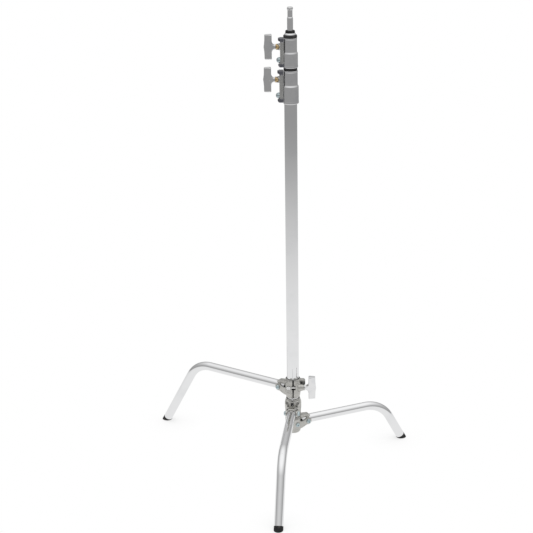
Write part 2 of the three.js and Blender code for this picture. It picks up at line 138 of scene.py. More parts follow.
def lathe(profile, sides=96, axis="Z", ease=0.6, steps=3):
    """Turned solid from [radius, height] points, with its corners eased.

    The profile closes on itself, or starts and ends on the axis."""
    on_axis = profile[0][0] < 1e-6 and profile[-1][0] < 1e-6
    work = bmesh.new()
    rings = []
    for point in fillet(profile, ease, steps, closed=not on_axis):
        if point.x < 1e-6:
            rings.append([work.verts.new((0, 0, point.y))])
        else:
            rings.append([work.verts.new((point.x * cos(2 * pi * i / sides),
                                          point.x * sin(2 * pi * i / sides), point.y))
                          for i in range(sides)])
    pairs = list(zip(rings, rings[1:]))
    if not on_axis:
        pairs.append((rings[-1], rings[0]))
    for a, b in pairs:
        for i in range(sides):
            j = (i + 1) % sides
            if len(a) == 1:
                work.faces.new((a[0], b[i], b[j]))
            elif len(b) == 1:
                work.faces.new((a[i], b[0], a[j]))
            else:
                work.faces.new((a[i], b[i], b[j], a[j]))
    turned = object_from(work)
    if axis == "X":
        moved(turned, rotate(90, "Y"))
    return turned


def block(x0, x1, y0, y1, z0, z1):
    work = bmesh.new()
    bmesh.ops.create_cube(work, size=1)
    work.transform(shift((x0 + x1) / 2, (y0 + y1) / 2, (z0 + z1) / 2)
                   @ Matrix.Diagonal((x1 - x0, y1 - y0, z1 - z0, 1)))
    return object_from(work)


def cylinder(radius, depth, sides, place):
    work = bmesh.new()
    bmesh.ops.create_cone(work, cap_ends=True, segments=sides, radius1=radius, radius2=radius,
                          depth=depth)
    work.transform(place)
    return object_from(work)


def rod(radius, start, end, sides=48):
    """Straight round bar between two points."""
    start, end = Vector(start), Vector(end)
    along = end - start
    turn = along.to_track_quat("Z", "Y").to_matrix().to_4x4()
    return cylinder(radius, along.length, sides, Matrix.Translation((start + end) / 2) @ turn)


def hex_prism(radius, depth, place):
    return cylinder(radius, depth, 6, place)


def ball(centre, radii):
    work = bmesh.new()
    bmesh.ops.create_icosphere(work, subdivisions=4, radius=1)
    work.transform(Matrix.Translation(centre) @ Matrix.Diagonal((*radii, 1)))
    return object_from(work)


# `fillet` leaves points on the axis alone, so side outlines are held far from it meanwhile
CLEAR = 1000


def bridge(work, rings):
    for a, b in zip(rings, rings[1:]):
        for i in range(len(a)):
            j = (i + 1) % len(a)
            work.faces.new((a[i], a[j], b[j], b[i]))


def slab(points, width, y=0.0, ease=0.0):
    """Side outline of [x, z] points (and own radius, if any) extruded across Y."""
    outline = [(p[0] + CLEAR, *p[1:]) for p in points]
    if ease or any(len(p) > 2 for p in points):
        outline = fillet(outline, ease, 4)
    else:
        outline = [Vector(p) for p in outline]
    work = bmesh.new()
    front = [work.verts.new((p.x - CLEAR, y - width / 2, p.y)) for p in outline]
    back = [work.verts.new((p.x - CLEAR, y + width / 2, p.y)) for p in outline]
    work.faces.new(front)
    work.faces.new(back[::-1])
    bridge(work, [front, back])
    return object_from(work)


def loft(sections, capped=True):
    """Skin over rings of points, capped or joined from last to first."""
    work = bmesh.new()
    rings = [[work.verts.new(point) for point in section] for section in sections]
    bridge(work, rings if capped else rings + rings[:1])
    if capped:
        work.faces.new(rings[0][::-1])
        work.faces.new(rings[-1])
    return object_from(work)


def moved(piece, matrix):
    piece.data.transform(matrix)
    return piece


def bake(piece):
    depsgraph = bpy.context.evaluated_depsgraph_get()
    depsgraph.update()
    mesh = bpy.data.meshes.new_from_object(piece.evaluated_get(depsgraph))
    piece.modifiers.clear()
    piece.data = mesh
    return piece


def watertight(piece):
    work = bmesh.new()
    work.from_mesh(piece.data)
    sound = len(work.faces) >= 6 and all(len(edge.link_faces) == 2 for edge in work.edges)
    work.free()
    return sound


def boolean(piece, others, operation="DIFFERENCE"):
    """Applies each other solid in turn; the exact solver steps in where manifold cannot."""
    for other in others:
        before = piece.data
        for solver in ("MANIFOLD", "EXACT"):
            if solver == "MANIFOLD" and not (watertight(piece) and watertight(other)):
                continue
            modifier = piece.modifiers.new("b", "BOOLEAN")
            modifier.operation = operation
            modifier.solver = solver
            modifier.object = other
            bake(piece)
            if len(piece.data.polygons) >= 6:
                break
            piece.data = before
        bpy.data.objects.remove(other)
    return piece


def together(parts):
    """Several closed shells as one mesh."""
    work = bmesh.new()
    for part in parts:
        work.from_mesh(part.data)
    for part in parts[1:]:
        bpy.data.objects.remove(part)
    work.to_mesh(parts[0].data)
    work.free()
    return parts[0]


def remesh(piece, voxel):
    modifier = piece.modifiers.new("r", "REMESH")
    modifier.mode = "VOXEL"
    modifier.voxel_size = voxel
    return bake(piece)


def cast(adds, cuts, voxel, smooth):
    """Rough forms fused, cut, remeshed and eased, so that every edge and root has a fillet."""
    piece = remesh(together(adds), voxel * 0.8)
    boolean(piece, cuts)
    remesh(piece, voxel)
    modifier = piece.modifiers.new("s", "SMOOTH")
    modifier.factor = 0.5
    modifier.iterations = smooth
    return bake(piece)


def finish(piece, name, stands_for, body, slot, place=None, sharp=32.0, material=None):
    if place is not None:
        moved(piece, place)
    moved(piece, ROW)
    piece.name = piece.data.name = name
    mesh = piece.data
    mesh.shade_smooth()
    if sharp:
        mesh.set_sharp_from_angle(angle=radians(sharp))
        flat = piece.modifiers.new("flat_faces", "WEIGHTED_NORMAL")
        flat.keep_sharp = True
    mesh.materials.clear()
    mesh.materials.append(MATERIALS[material or slot])
    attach(piece, body)
    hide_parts(stands_for)


# ---------------------------------------------------------------- shader tools
class Value:
    """An output in a node tree, so that shader arithmetic reads as arithmetic."""

    def __init__(self, tree, socket):
        self.tree, self.socket = tree, socket

    def into(self, socket):
        self.tree.links.new(self.socket, socket)

    def op(self, kind, other=None):
        node = self.tree.nodes.new("ShaderNodeMath")
        node.operation = kind
        self.into(node.inputs[0])
        if isinstance(other, Value):
            other.into(node.inputs[1])
        elif other is not None:
            node.inputs[1].default_value = other
        return Value(self.tree, node.outputs[0])

    def __add__(self, other):
        return self.op("ADD", other)

    def __mul__(self, other):
        return self.op("MULTIPLY", other)

    def step(self, start, end, low=0.0, high=1.0):
        """Smooth step from low at start to high at end."""
        node = self.tree.nodes.new("ShaderNodeMapRange")
        node.interpolation_type = "SMOOTHSTEP"
        self.into(node.inputs["Value"])
        node.inputs["From Min"].default_value = start
        node.inputs["From Max"].default_value = end
        node.inputs["To Min"].default_value = low
        node.inputs["To Max"].default_value = high
        return Value(self.tree, node.outputs["Result"])

    def towards(self, value, amount):
        """self moved towards value by amount (0 to 1)."""
        return self + (self * -1.0 + value) * amount


def output_of(tree, kind, output):
    return Value(tree, tree.nodes.new(kind).outputs[output])


def split_xyz(vector):
    node = vector.tree.nodes.new("ShaderNodeSeparateXYZ")
    vector.into(node.inputs[0])
    return [Value(vector.tree, output) for output in node.outputs]


def occlusion(tree, samples, distance):
    node = tree.nodes.new("ShaderNodeAmbientOcclusion")
    node.samples = samples
    node.inputs["Distance"].default_value = distance
    return Value(tree, node.outputs["AO"])


class Shader:
    """A material on one Principled BSDF."""

    def __init__(self, name, metallic=1.0):
        self.material = bpy.data.materials.new(name)
        self.material.use_nodes = True
        self.tree = self.material.node_tree
        self.bsdf = self.tree.nodes["Principled BSDF"]
        self.bsdf.inputs["Metallic"].default_value = metallic

    def noise(self, scale, detail=3.0, rough=0.55, stretch=(1, 1, 1)):
        node = self.tree.nodes.new("ShaderNodeTexNoise")
        node.inputs["Scale"].default_value = scale
        node.inputs["Detail"].default_value = detail
        node.inputs["Roughness"].default_value = rough
        coords = output_of(self.tree, "ShaderNodeTexCoord", "Object")
        mapping = self.tree.nodes.new("ShaderNodeMapping")
        mapping.inputs["Scale"].default_value = stretch
        coords.into(mapping.inputs["Vector"])
        Value(self.tree, mapping.outputs["Vector"]).into(node.inputs["Vector"])
        return Value(self.tree, node.outputs["Fac"])

    def pointiness(self):
        """Above 0.5 on outer edges, below it in pits and roots."""
        return output_of(self.tree, "ShaderNodeNewGeometry", "Pointiness")

    def mix(self, base, over, amount):
        """Colour: base covered with over by amount."""
        node = self.tree.nodes.new("ShaderNodeMix")
        node.data_type = "RGBA"
        # inputs 6 and 7 and output 2 are the node's colour sockets
        for socket, colour in ((node.inputs[6], base), (node.inputs[7], over)):
            if isinstance(colour, tuple):
                socket.default_value = (*colour, 1)
            else:
                colour.into(socket)
        amount.into(node.inputs[0])
        return Value(self.tree, node.outputs[2])

    def finished(self, colour, roughness, relief, strength, distance):
        """Connects the surface; strength and distance (m) set the depth of the relief."""
        colour.into(self.bsdf.inputs["Base Color"])
        roughness.into(self.bsdf.inputs["Roughness"])
        node = self.tree.nodes.new("ShaderNodeBump")
        node.inputs["Strength"].default_value = strength
        node.inputs["Distance"].default_value = distance
        relief.into(node.inputs["Height"])
        self.tree.links.new(node.outputs["Normal"], self.bsdf.inputs["Normal"])
        return self.material


# ------------------------------------------------------------------- materials
# Colours are linear RGB. Factors on a mask set its strength; those in a relief, its share.
def chrome_tube():
    s = Shader("chrome_tube")
    smudge = s.noise(scale=14, detail=5, rough=0.6)
    # fine lines drawn out along Z
    drawn = s.noise(scale=1.0, detail=3, rough=0.6, stretch=(900, 900, 18))
    return s.finished(
        colour=s.mix(base=(0.955, 0.958, 0.965), over=(0.90, 0.905, 0.915),
                     amount=smudge.step(start=0.45, end=0.75)),
        roughness=(smudge.step(start=0.42, end=0.72, low=0.035, high=0.075)
                   + drawn.step(start=0.55, end=0.8, low=0.0, high=0.02)),
        relief=drawn * 0.6 + s.noise(scale=60, detail=2) * 0.4, strength=0.02, distance=0.0002)


def chrome_casting():
    s = Shader("chrome_casting")
    edge = s.pointiness().step(start=0.53, end=0.62)
    pit = s.pointiness().step(start=0.38, end=0.47, low=1.0, high=0.0)
    cloud = s.noise(scale=45, detail=4, rough=0.6)
    colour = s.mix(base=(0.92, 0.92, 0.925), over=(0.84, 0.845, 0.86),
                   amount=cloud.step(start=0.4, end=0.7))
    # painted shade: pits and roots are darkened towards blue-grey
    colour = s.mix(base=colour, over=(0.42, 0.42, 0.45), amount=pit * 0.75)
    return s.finished(
        colour=s.mix(base=colour, over=(0.97, 0.97, 0.97), amount=edge * 0.6),
        roughness=cloud.step(start=0.35, end=0.75, low=0.08, high=0.15) + pit * 0.14,
        relief=(s.noise(scale=190, detail=3, rough=0.5) * 0.7
                + s.noise(scale=900, detail=2) * 0.3),
        strength=0.03, distance=0.0003)


def satin_casting(name, base, dark, rough, lips=0.0):
    """Matt cast metal; lips is the strength of a darker, bluish tone at the top and bottom ends.
    """
    s = Shader(name)
    # painted shade mask from ambient occlusion: near 1 in corners and under overhangs
    painted_crevice_shade = occlusion(s.tree, samples=6, distance=0.014).step(
        start=0.25, end=0.85, low=1.0, high=0.0)
    pointiness = s.pointiness()
    edge = pointiness.step(start=0.53, end=0.62)
    pit = pointiness.step(start=0.36, end=0.46, low=1.0, high=0.0)
    cloud = s.noise(scale=30, detail=4, rough=0.55)
    grain = s.noise(scale=900, detail=3, rough=0.6)
    grain_colour = (base[0] * 0.88, base[1] * 0.87, base[2] * 0.84)
    colour = s.mix(base=base, over=dark, amount=cloud.step(start=0.45, end=0.8) * 0.6)
    colour = s.mix(base=colour, over=grain_colour, amount=grain.step(start=0.5, end=0.8) * 0.5)
    # painted shade: pits and roots are darkened towards dark grey
    colour = s.mix(base=colour, over=(0.16, 0.158, 0.155), amount=pit * 0.7)
    colour = s.mix(base=colour, over=(0.76, 0.755, 0.73), amount=edge * 0.6)
    if lips:
        height = split_xyz(output_of(s.tree, "ShaderNodeTexCoord", "Generated"))[2]
        ends = (height.step(start=0.10, end=0.15, low=1.0, high=0.0)
                + height.step(start=0.85, end=0.90))
        colour = s.mix(base=colour, over=(0.13, 0.135, 0.18), amount=ends * lips)
    return s.finished(
        # painted shade: corners that ambient occlusion finds are darkened towards near black
        colour=s.mix(base=colour, over=(0.09, 0.09, 0.095), amount=painted_crevice_shade * 0.85),
        roughness=cloud.step(start=0.3, end=0.75, low=rough[0], high=rough[1]) + pit * 0.15,
        relief=grain * 0.6 + s.noise(scale=260, detail=2) * 0.4, strength=0.12, distance=0.0004)


def zinc_bolt():
    s = Shader("zinc_bolt")
    spangle = s.noise(scale=300, detail=4, rough=0.65)
    fine = s.noise(scale=1500, detail=2, rough=0.5)
    return s.finished(
        colour=s.mix(base=(0.60, 0.70, 0.72), over=(0.45, 0.53, 0.57),
                     amount=spangle.step(start=0.4, end=0.68)),
        roughness=spangle.step(start=0.35, end=0.7, low=0.18, high=0.36),
        relief=fine, strength=0.12, distance=0.0003)


def steel(name, base, rough):
    s = Shader(name)
    # turning marks, closely spaced along X
    marks = s.noise(scale=1.0, detail=3, rough=0.6, stretch=(2600, 60, 60))
    return s.finished(
        colour=s.mix(base=base, over=tuple(part * 0.82 for part in base),
                     amount=s.noise(scale=90, detail=4).step(start=0.4, end=0.7)),
        roughness=marks.step(start=0.35, end=0.7, low=rough[0], high=rough[1]),
        relief=marks, strength=0.10, distance=0.0002)


def brass_insert():
    s = Shader("brass_insert")
    tarnish = s.noise(scale=170, detail=5, rough=0.65)
    return s.finished(
        colour=s.mix(base=(0.74, 0.56, 0.30), over=(0.42, 0.29, 0.16),
                     amount=tarnish.step(start=0.42, end=0.7)),
        roughness=tarnish.step(start=0.4, end=0.7, low=0.2, high=0.4),
        relief=s.noise(scale=1.0, detail=2, rough=0.5, stretch=(2200, 40, 40)),
        strength=0.12, distance=0.0002)


def black_nylon():
    s = Shader("black_nylon", metallic=0.0)
    speck = s.noise(scale=420, detail=4, rough=0.6)
    return s.finished(
        colour=s.mix(base=(0.012, 0.012, 0.013), over=(0.035, 0.034, 0.034),
                     amount=s.noise(scale=60, detail=4).step(start=0.45, end=0.75)),
        roughness=speck.step(start=0.3, end=0.75, low=0.34, high=0.56),
        relief=speck, strength=0.14, distance=0.0004)


def black_rubber():
    s = Shader("black_rubber", metallic=0.0)
    s.bsdf.inputs["Specular IOR Level"].default_value = 0.35
    grain = s.noise(scale=650, detail=5, rough=0.7)
    dust = s.noise(scale=55, detail=5, rough=0.65)
    return s.finished(
        colour=s.mix(base=(0.010, 0.010, 0.011), over=(0.060, 0.057, 0.052),
                     amount=dust.step(start=0.5, end=0.8)),
        roughness=grain.step(start=0.3, end=0.75, low=0.55, high=0.82),
        relief=grain, strength=0.35, distance=0.0005)


MATERIALS = {
    "chrome_tube": chrome_tube(),
    "chrome_casting": chrome_casting(),
    "satin_casting": satin_casting("satin_casting", base=(0.60, 0.593, 0.562),
                                   dark=(0.46, 0.455, 0.43), rough=(0.27, 0.40)),
    "satin_clamp": satin_casting("satin_clamp", base=(0.68, 0.68, 0.665),
                                 dark=(0.47, 0.47, 0.46), rough=(0.2, 0.34), lips=0.8),
    "zinc_bolt": zinc_bolt(),
    "bright_steel": steel("bright_steel", base=(0.86, 0.86, 0.85), rough=(0.13, 0.28)),
    "plated_nut": steel("plated_nut", base=(0.97, 0.97, 0.96), rough=(0.45, 0.6)),
    "brass_insert": brass_insert(),
    "black_nylon": black_nylon(),
    "black_rubber": black_rubber(),
}
slot_of = {part["node"]: part["material_slot"] for part in frame["record"]["subparts"]}
for name, node in nodes.items():
    node.data.materials.clear()
    node.data.materials.append(MATERIALS[slot_of[name]])

# --------------------------------------------------------------------- columns
# Clamps: flat is the mounting face's distance from the column axis and tube the radius of the
# clamped tube. screw is the tee screw's height; top, bottom and bolt are heights from it.
# ring_* are the sleeve radius and end heights of the nylon ring; outer and bore are the
# collar's [radius, height] profiles.
LOWER = SimpleNamespace(
    name="column", body="root", flat=19.5, screw=1147.0, top=25.0, bottom=-62.0, bolt=-44.0,
    tube=RISER1_R, ring_radius=16.4, ring_bottom=1158, ring_top=1180,
    outer=[(0, 1081), (21.7, 1081), (22.4, 1082.2), (22.4, 1087), (22.1, 1088.5),
           (22.1, 1128.4), (19.6, 1133), (19.6, 1168), (19.9, 1169), (19.9, 1172.0),
           (19.2, 1172.7), (0, 1172.7)],
    bore=[(0, 1070), (17.7, 1070), (17.7, 1129.5), (15.4, 1129.5), (15.4, 1157.5),
          (16.7, 1157.5), (16.7, 1190), (0, 1190)])
UPPER = SimpleNamespace(
    name="riser1", body="riser1", flat=17.0, screw=1237.0, top=24.0, bottom=-54.5, bolt=-36.2,
    tube=RISER2_R, ring_radius=14.2, ring_bottom=1248, ring_top=1269,
    outer=[(0, 1180.4), (20.0, 1180.4), (20.7, 1181.4), (20.7, 1185.6), (20.4, 1187),
           (20.4, 1219.5), (18.3, 1224), (18.3, 1257.5), (18.6, 1258.5), (18.6, 1261),
           (17.9, 1261.8), (0, 1261.8)],
    bore=[(0, 1170), (15.2, 1170), (15.2, 1221.5), (12.9, 1221.5), (12.9, 1247.5),
          (14.5, 1247.5), (14.5, 1270), (0, 1270)])
CLAMPS = (LOWER, UPPER)


def bolt_hole(clamp):
    """Cutter for the clamp bolt's hole in the tube and collar, on the -X side."""
    z = clamp.screw + clamp.bolt
    return rod(4.3, (-60, 0, z), (0, 0, z), 32)


def pipe(name, radius, body, holes=()):
    node = name + "_tube"
    bore = radius - TUBE_WALL
    z0, z1 = heights(node)
    piece = lathe([(bore, z0), (radius, z0), (radius, z1), (bore, z1)], 128, ease=0.35, steps=2)
    boolean(piece, holes)
    finish(piece, name + "_pipe", node, body, "chrome_tube")


pipe("column", COLUMN_R, "root", [bolt_hole(LOWER)])
pipe("riser1", RISER1_R, "riser1", [bolt_hole(UPPER)])
pipe("riser2", RISER2_R, "riser2")


def collar(clamp):
    z0, z1 = clamp.outer[0][1], clamp.outer[-1][1]
    flange = slab([(-clamp.flat, z0 + 0.6), (-5, z0 + 0.6), (-5, z1 - 0.6),
                   (-clamp.flat, z1 - 0.6)], 18)
    face = block(-60, -clamp.flat, -30, 30, z0 - 5, z1 + 5)
    shoe_window = block(-60, 0, -7.5, 7.5, clamp.screw - 9.5, clamp.screw + 9.5)
    return cast([lathe(clamp.outer, 128, ease=0.5), flange],
                [lathe(clamp.bore, ease=0.0), face, shoe_window, bolt_hole(clamp)], 0.5, 5)


def collar_ring(clamp):
    """Nylon ring: a sleeve inside the collar and a grooved head on top of it."""
    inner, sleeve = clamp.tube + BORE_GAP, clamp.ring_radius
    seat, top = clamp.outer[-1][1] + 0.3, clamp.ring_top
    return lathe([(inner, clamp.ring_bottom), (sleeve, clamp.ring_bottom), (sleeve, seat, 0.1),
                  (18.0, seat), (18.75, seat + 0.9), (18.75, top - 2.6, 0.2),
                  (18.3, top - 2.2, 0.2), (18.75, top - 1.8, 0.2), (18.6, top - 0.9),
                  (17.6, top), (inner, top)], 128, ease=0.4)


for clamp in CLAMPS:
    node = clamp.name + "_collar"
    finish(collar(clamp), node + "_body", node, clamp.body, "chrome_casting", sharp=None)
for clamp in CLAMPS:
    node = clamp.name + "_collar"
    finish(collar_ring(clamp), node + "_bushing", node + "_ring", clamp.body, "black_nylon")


# -------------------------------------------------------------- riser clamps
# Modelled in the clamp frame: +X outward from the column axis, Z from the tee screw.
def clamp_block(clamp):
    """A channel: a web with a lip at each end, a boss for the screw and a seat for the bolt."""
    flat, bottom, top, bolt = clamp.flat, clamp.bottom, clamp.top, clamp.bolt
    side = [(flat + 0.4, bottom), (flat + 13, bottom, 1.2), (flat + 16, bottom + 3.5, 1.2),
            (flat + 16, bottom + 6.8, 1.0), (flat + 8.6, bottom + 8.6, 1.6),
            (flat + 8.6, top - 8.6, 1.6), (flat + 16, top - 7.2, 1.0), (flat + 16, top, 1.0),
            (flat + 0.4, top)]
    boss = [(0, flat + 4), (11, flat + 4), (10.8, flat + 8.5), (9.6, flat + 10.5),
            (8.2, flat + 18), (0, flat + 18)]
    bolt_seat = [(0, flat + 5), (9.6, flat + 5), (9.6, flat + 9.6), (0, flat + 9.6)]
    adds = [slab(side, 23), lathe(boss, 64, "X", ease=0.5),
            moved(lathe(bolt_seat, 64, "X"), shift(0, 0, bolt))]
    # side walls stand 2 mm proud of the web
    for sign in (-1, 1):
        adds.append(slab([(flat + 1, bottom + 5), (flat + 10.6, bottom + 7),
                          (flat + 10.6, top - 7), (flat + 1, top - 5)], 2.4, y=sign * 10.3))
    cuts = [block(flat - 5, flat + 6.0, -7.5, 7.5, -9.5, 9.5),
            rod(5.1, (flat - 3, 0, 0), (flat + 12, 0, 0)),
            rod(6.35, (flat + 9.6, 0, 0), (flat + 30, 0, 0)),
            rod(4.4, (flat - 5, 0, bolt), (flat + 30, 0, bolt), 32)]
    # the lips are cut back at their outer corners and each side has a shallow panel
    for sign in (-1, 1):
        cuts.append(moved(block(-9, 9, -6, 6, bottom - 3, top + 3),
                          shift(flat + 16.6, sign * 13.6, 0) @ rotate(-sign * 58, "Z")))
        cuts.append(slab([(flat + 2.2, bottom + 9.5), (flat + 6.8, bottom + 9.5),
                          (flat + 6.8, top - 9.5), (flat + 2.2, top - 9.5)],
                         2.2, y=sign * 11.6, ease=1.5))
    return cast(adds, cuts, 0.45, 4)


def dome_bolt(clamp):
    flat, tip = clamp.flat, clamp.tube + 1.4
    dome = [(8 * sin(radians(a)), flat + 12.2 + 8.8 * cos(radians(a)), 0)
            for a in range(90, 0, -6)]
    piece = lathe([(0, tip), (3.6, tip), (4, tip + 0.5), (4, flat + 9.8, 0.1),
                   (8, flat + 9.8, 0.5)] + dome + [(0, flat + 21)], 96, "X", ease=0.4, steps=4)
    return boolean(piece, [hex_prism(3.2, 7, shift(flat + 20.5, 0, 0) @ rotate(90, "Y"))])


def insert(clamp):
    """Brass sleeve with a grooved rim and two slots in its outer end."""
    flat = clamp.flat
    piece = lathe([(4.9, flat + 10), (6.1, flat + 10), (6.1, flat + 18.3, 0.1), (8, flat + 18.3),
                   (8, flat + 19.8, 0.2), (7.5, flat + 20.2, 0.2), (8, flat + 20.6, 0.2),
                   (8, flat + 21.5), (7.2, flat + 22.2), (4.9, flat + 22.2)],
                  96, "X", ease=0.3)
    return boolean(piece, [block(flat + 20.9, flat + 23, -0.7, 0.7, *ends)
                           for ends in ((4, 9), (-9, -4))])


def shoe(clamp):
    """Nylon block hollowed to bear on the clamped tube."""
    return cast([block(clamp.tube - 3.5, clamp.flat + 3.0, -7.1, 7.1, -9, 9)],
                [rod(clamp.tube + 0.35, (0, 0, -20), (0, 0, 20), 96)], 0.4, 4)


# ---------------------------------------------------------------- tee handles
# Upper half of the grip's outline: x from the seat, z from the screw axis
GRIP_HALF = [(0, 5.0), (3.8, 5.4), (7.4, 7.8), (9.4, 11.0), (10.2, 15.0), (10.2, 32.0),
             (11.2, 33.7), (13.0, 34.2), (27.6, 34.2), (29.2, 33.0), (29.7, 30.0),
             (29.9, 18.0), (30.8, 8.0), (32.0, 0.0)]
GRIP_HALF_DEPTH = 7.75  # in Y
GRIP_ROUND = 2.3
GRIP_LAYERS = 16
STUD_R, STUD_END = 4.5, 16
PITCH, THREAD_DEPTH = 1.5, 0.75
THREAD_SIDES, STEPS_PER_TURN = 40, 7


def tee_grip():
    """Grip on a screw along +X, bar along Z: a flat faced cast bar with a flared neck."""
    outline = GRIP_HALF + [(x, -z) for x, z in reversed(GRIP_HALF[:-1])]
    points = [(p.x - CLEAR, p.y) for p in fillet([(x + CLEAR, z) for x, z in outline], 1.4, 3)]
    normals = []
    for i, last in enumerate(points[-1:] + points[:-1]):
        following = points[(i + 1) % len(points)]
        dx, dz = following[0] - last[0], following[1] - last[1]
        length = hypot(dx, dz)
        normals.append((-dz / length, dx / length))
    layers = []
    for k in range(GRIP_LAYERS + 1):
        y = GRIP_HALF_DEPTH * sin(pi * (k / GRIP_LAYERS - 0.5))
        over = max(0.0, abs(y) - (GRIP_HALF_DEPTH - GRIP_ROUND)) / GRIP_ROUND
        inset = GRIP_ROUND * (1.0 - sqrt(max(0.0, 1.0 - over * over)))
        # the rounding fades towards the seat in X, and the bar thins outward from x = 11
        layers.append([(x - out_x * inset * min(1.0, max(0.0, x / 9.0)),
                        y * (1.0 - 0.55 * min(1.0, max(0.0, (x - 11.0) / 19.0))),
                        z - out_z * inset)
                       for (x, z), (out_x, out_z) in zip(points, normals)])
    neck = [(0, 0), (7.0, 0), (7.0, 2.6), (6.0, 4.4), (6.3, 7.0), (7.2, 10.5), (7.6, 15), (0, 15)]
    return cast([loft(layers), lathe(neck, 64, "X", ease=0.5)],
                [rod(4.8, (-2, 0, 0), (16.3, 0, 0))], 0.4, 4)


def stud(start):
    """A right-hand threaded stud along X, its thread fading out at both ends."""
    steps = int((STUD_END - start) / PITCH * STEPS_PER_TURN)
    rings = []
    for i in range(steps + 1):
        x = start + (STUD_END - start) * i / steps
        fade = min(1.0, (x - start) / 1.2 + 0.05, (STUD_END - x) / 1.2 + 0.05)
        ring = []
        for j in range(THREAD_SIDES):
            angle = 2 * pi * j / THREAD_SIDES
            phase = ((x / PITCH) - j / THREAD_SIDES) % 1.0
            cut = THREAD_DEPTH * min(1.0, max(0.0, 1.25 - abs(2 * phase - 1) * 1.5))
            radius = STUD_R - (THREAD_DEPTH * (1 - fade) + cut * fade)
            ring.append((x, radius * cos(angle), radius * sin(angle)))
        rings.append(ring)
    return loft(rings)


grip_pattern = tee_grip()
grip_mesh = grip_pattern.data
bpy.data.objects.remove(grip_pattern)


def tee(name, seat, stud_start):
    body = name + "_handle"
    finish(link_object("grip", grip_mesh.copy()), name + "_tee_grip", name + "_tee_handle",
           body, "chrome_casting", seat, sharp=None)
    finish(stud(stud_start), name + "_tee_stud", name + "_tee_screw", body, "bright_steel",
           seat, sharp=60)


for clamp in CLAMPS:
    name, body = clamp.name, clamp.body
    # half a turn about Z, as the clamps face -X in the stand
    place = shift(0, 0, clamp.screw) @ rotate(180, "Z")
    finish(clamp_block(clamp), name + "_clamp_body", name + "_clamp_block", body,
           "satin_casting", place, sharp=None, material="satin_clamp")
    finish(dome_bolt(clamp), name + "_clamp_dome_bolt", name + "_clamp_bolt", body,
           "zinc_bolt", place @ shift(0, 0, clamp.bolt))
    finish(insert(clamp), name + "_clamp_brass", name + "_clamp_insert", body,
           "brass_insert", place)
    finish(shoe(clamp), name + "_brake_pad", name + "_brake_shoe", name + "_shoe",
           "black_nylon", place, sharp=None)
    tee(name, place @ shift(clamp.flat + 22.7, 0, 0), -19.4)

# --------------------------------------------------------------- top fittings
# [radius, height] profiles
END_CAP = [(8.2, 1232), (10.8, 1232), (10.8, 1269.3, 0.1), (15.3, 1269.3), (15.8, 1270.2),
           (15.6, 1271.2), (13.5, 1275), (8.2, 1275)]
SPIGOT = [(0, 1234), (7.4, 1234), (8, 1234.8), (8, 1315.4), (6.7, 1317.6), (6.7, 1336.6),
          (8, 1338.4), (8, 1342.6), (7.0, 1344), (2.2, 1344, 0.2), (1.6, 1342.6, 0.2),
          (0, 1342.4)]
BUMPER = [(8.25, 1275.3), (12.4, 1275.3), (13.1, 1276.2), (13.1, 1277.7, 0.3),
          (12.7, 1278.1, 0.3), (13.1, 1278.6, 0.3), (13.1, 1280.1), (12.4, 1281), (8.25, 1281)]
finish(lathe(END_CAP, 128, ease=0.5), "riser2_end_cap", "riser2_cap", "riser2", "chrome_tube")
finish(lathe(SPIGOT, ease=0.5), "spigot_pin", "spigot", "riser2", "chrome_tube")
finish(lathe(BUMPER, ease=0.5), "spigot_bumper", "bumper_ring", "riser2", "black_rubber")

# ------------------------------------------------------------------------ legs
# Leg frame: the leg runs out along +X from the column axis and is then turned to its azimuth.
LEG_INNER = 24.5  # x of the tube's inner end
BEND_R = 92.0
FOOT_PLANE = 9.5  # height at which the tube ends
REACH = 41.0  # x of the leg bolt
# hub: height of the tube axis at its inner end; knee: [x, z] where the two straight runs would
# meet; foot: x where the lower run meets the floor; head: side of the bolt head, +1 for +Y
LONG = SimpleNamespace(azimuth=143.29, hub=231.5, knee=(356, 221), foot=485, head=1)
MIDDLE = SimpleNamespace(azimuth=-96.73, hub=169.5, knee=(319, 169), foot=421.6, head=-1)
SHORT = SimpleNamespace(azimuth=23.16, hub=125.0, knee=(289, 126.5), foot=359, head=-1)


def leg_path(leg):
    """Centre line as (point, direction) stations: inner run, bend, outer run."""
    inner = Vector((LEG_INNER, 0, leg.hub))
    knee = Vector((leg.knee[0], 0, leg.knee[1]))
    foot = Vector((leg.foot, 0, 0))
    outward, downward = (knee - inner).normalized(), (foot - knee).normalized()
    turn = outward.angle(downward)
    start = knee - outward * (BEND_R * tan(turn / 2))
    inward = (downward - outward * outward.dot(downward)).normalized()
    centre = start + inward * BEND_R
    stations = [(inner + (start - inner) * i / 6, outward) for i in range(6)]
    for i in range(33):
        angle = turn * i / 32
        stations.append((
            centre - inward * BEND_R * cos(angle) + outward * BEND_R * sin(angle),
            outward * cos(angle) + inward * sin(angle)))
    bend_end = stations[-1][0]
    end = foot - downward * (FOOT_PLANE / -downward.z)
    stations += [(bend_end + (end - bend_end) * i / 6, downward) for i in range(1, 7)]
    return stations


def leg_slope(leg):
    return (leg.knee[1] - leg.hub) / (leg.knee[0] - LEG_INNER)


def bolt_height(leg):
    return leg.hub + leg_slope(leg) * (REACH - LEG_INNER) - 1


def bolt_bore(leg, radius, half_length):
    z = bolt_height(leg)
    return rod(radius, (REACH, -half_length, z), (REACH, half_length, z), 32)


def leg_pipe(leg):
    stations = leg_path(leg)
    sides = 72
    side = Vector((0, 1, 0))
    rings = []
    for radius, order in ((LEG_R, stations), (LEG_BORE, stations[::-1])):
        for point, along in order:
            normal = side.cross(along).normalized()
            rings.append([point + (side * cos(2 * pi * i / sides)
                                   + normal * sin(2 * pi * i / sides)) * radius
                          for i in range(sides)])
    return boolean(loft(rings, capped=False), [bolt_bore(leg, 4.4, 20)])


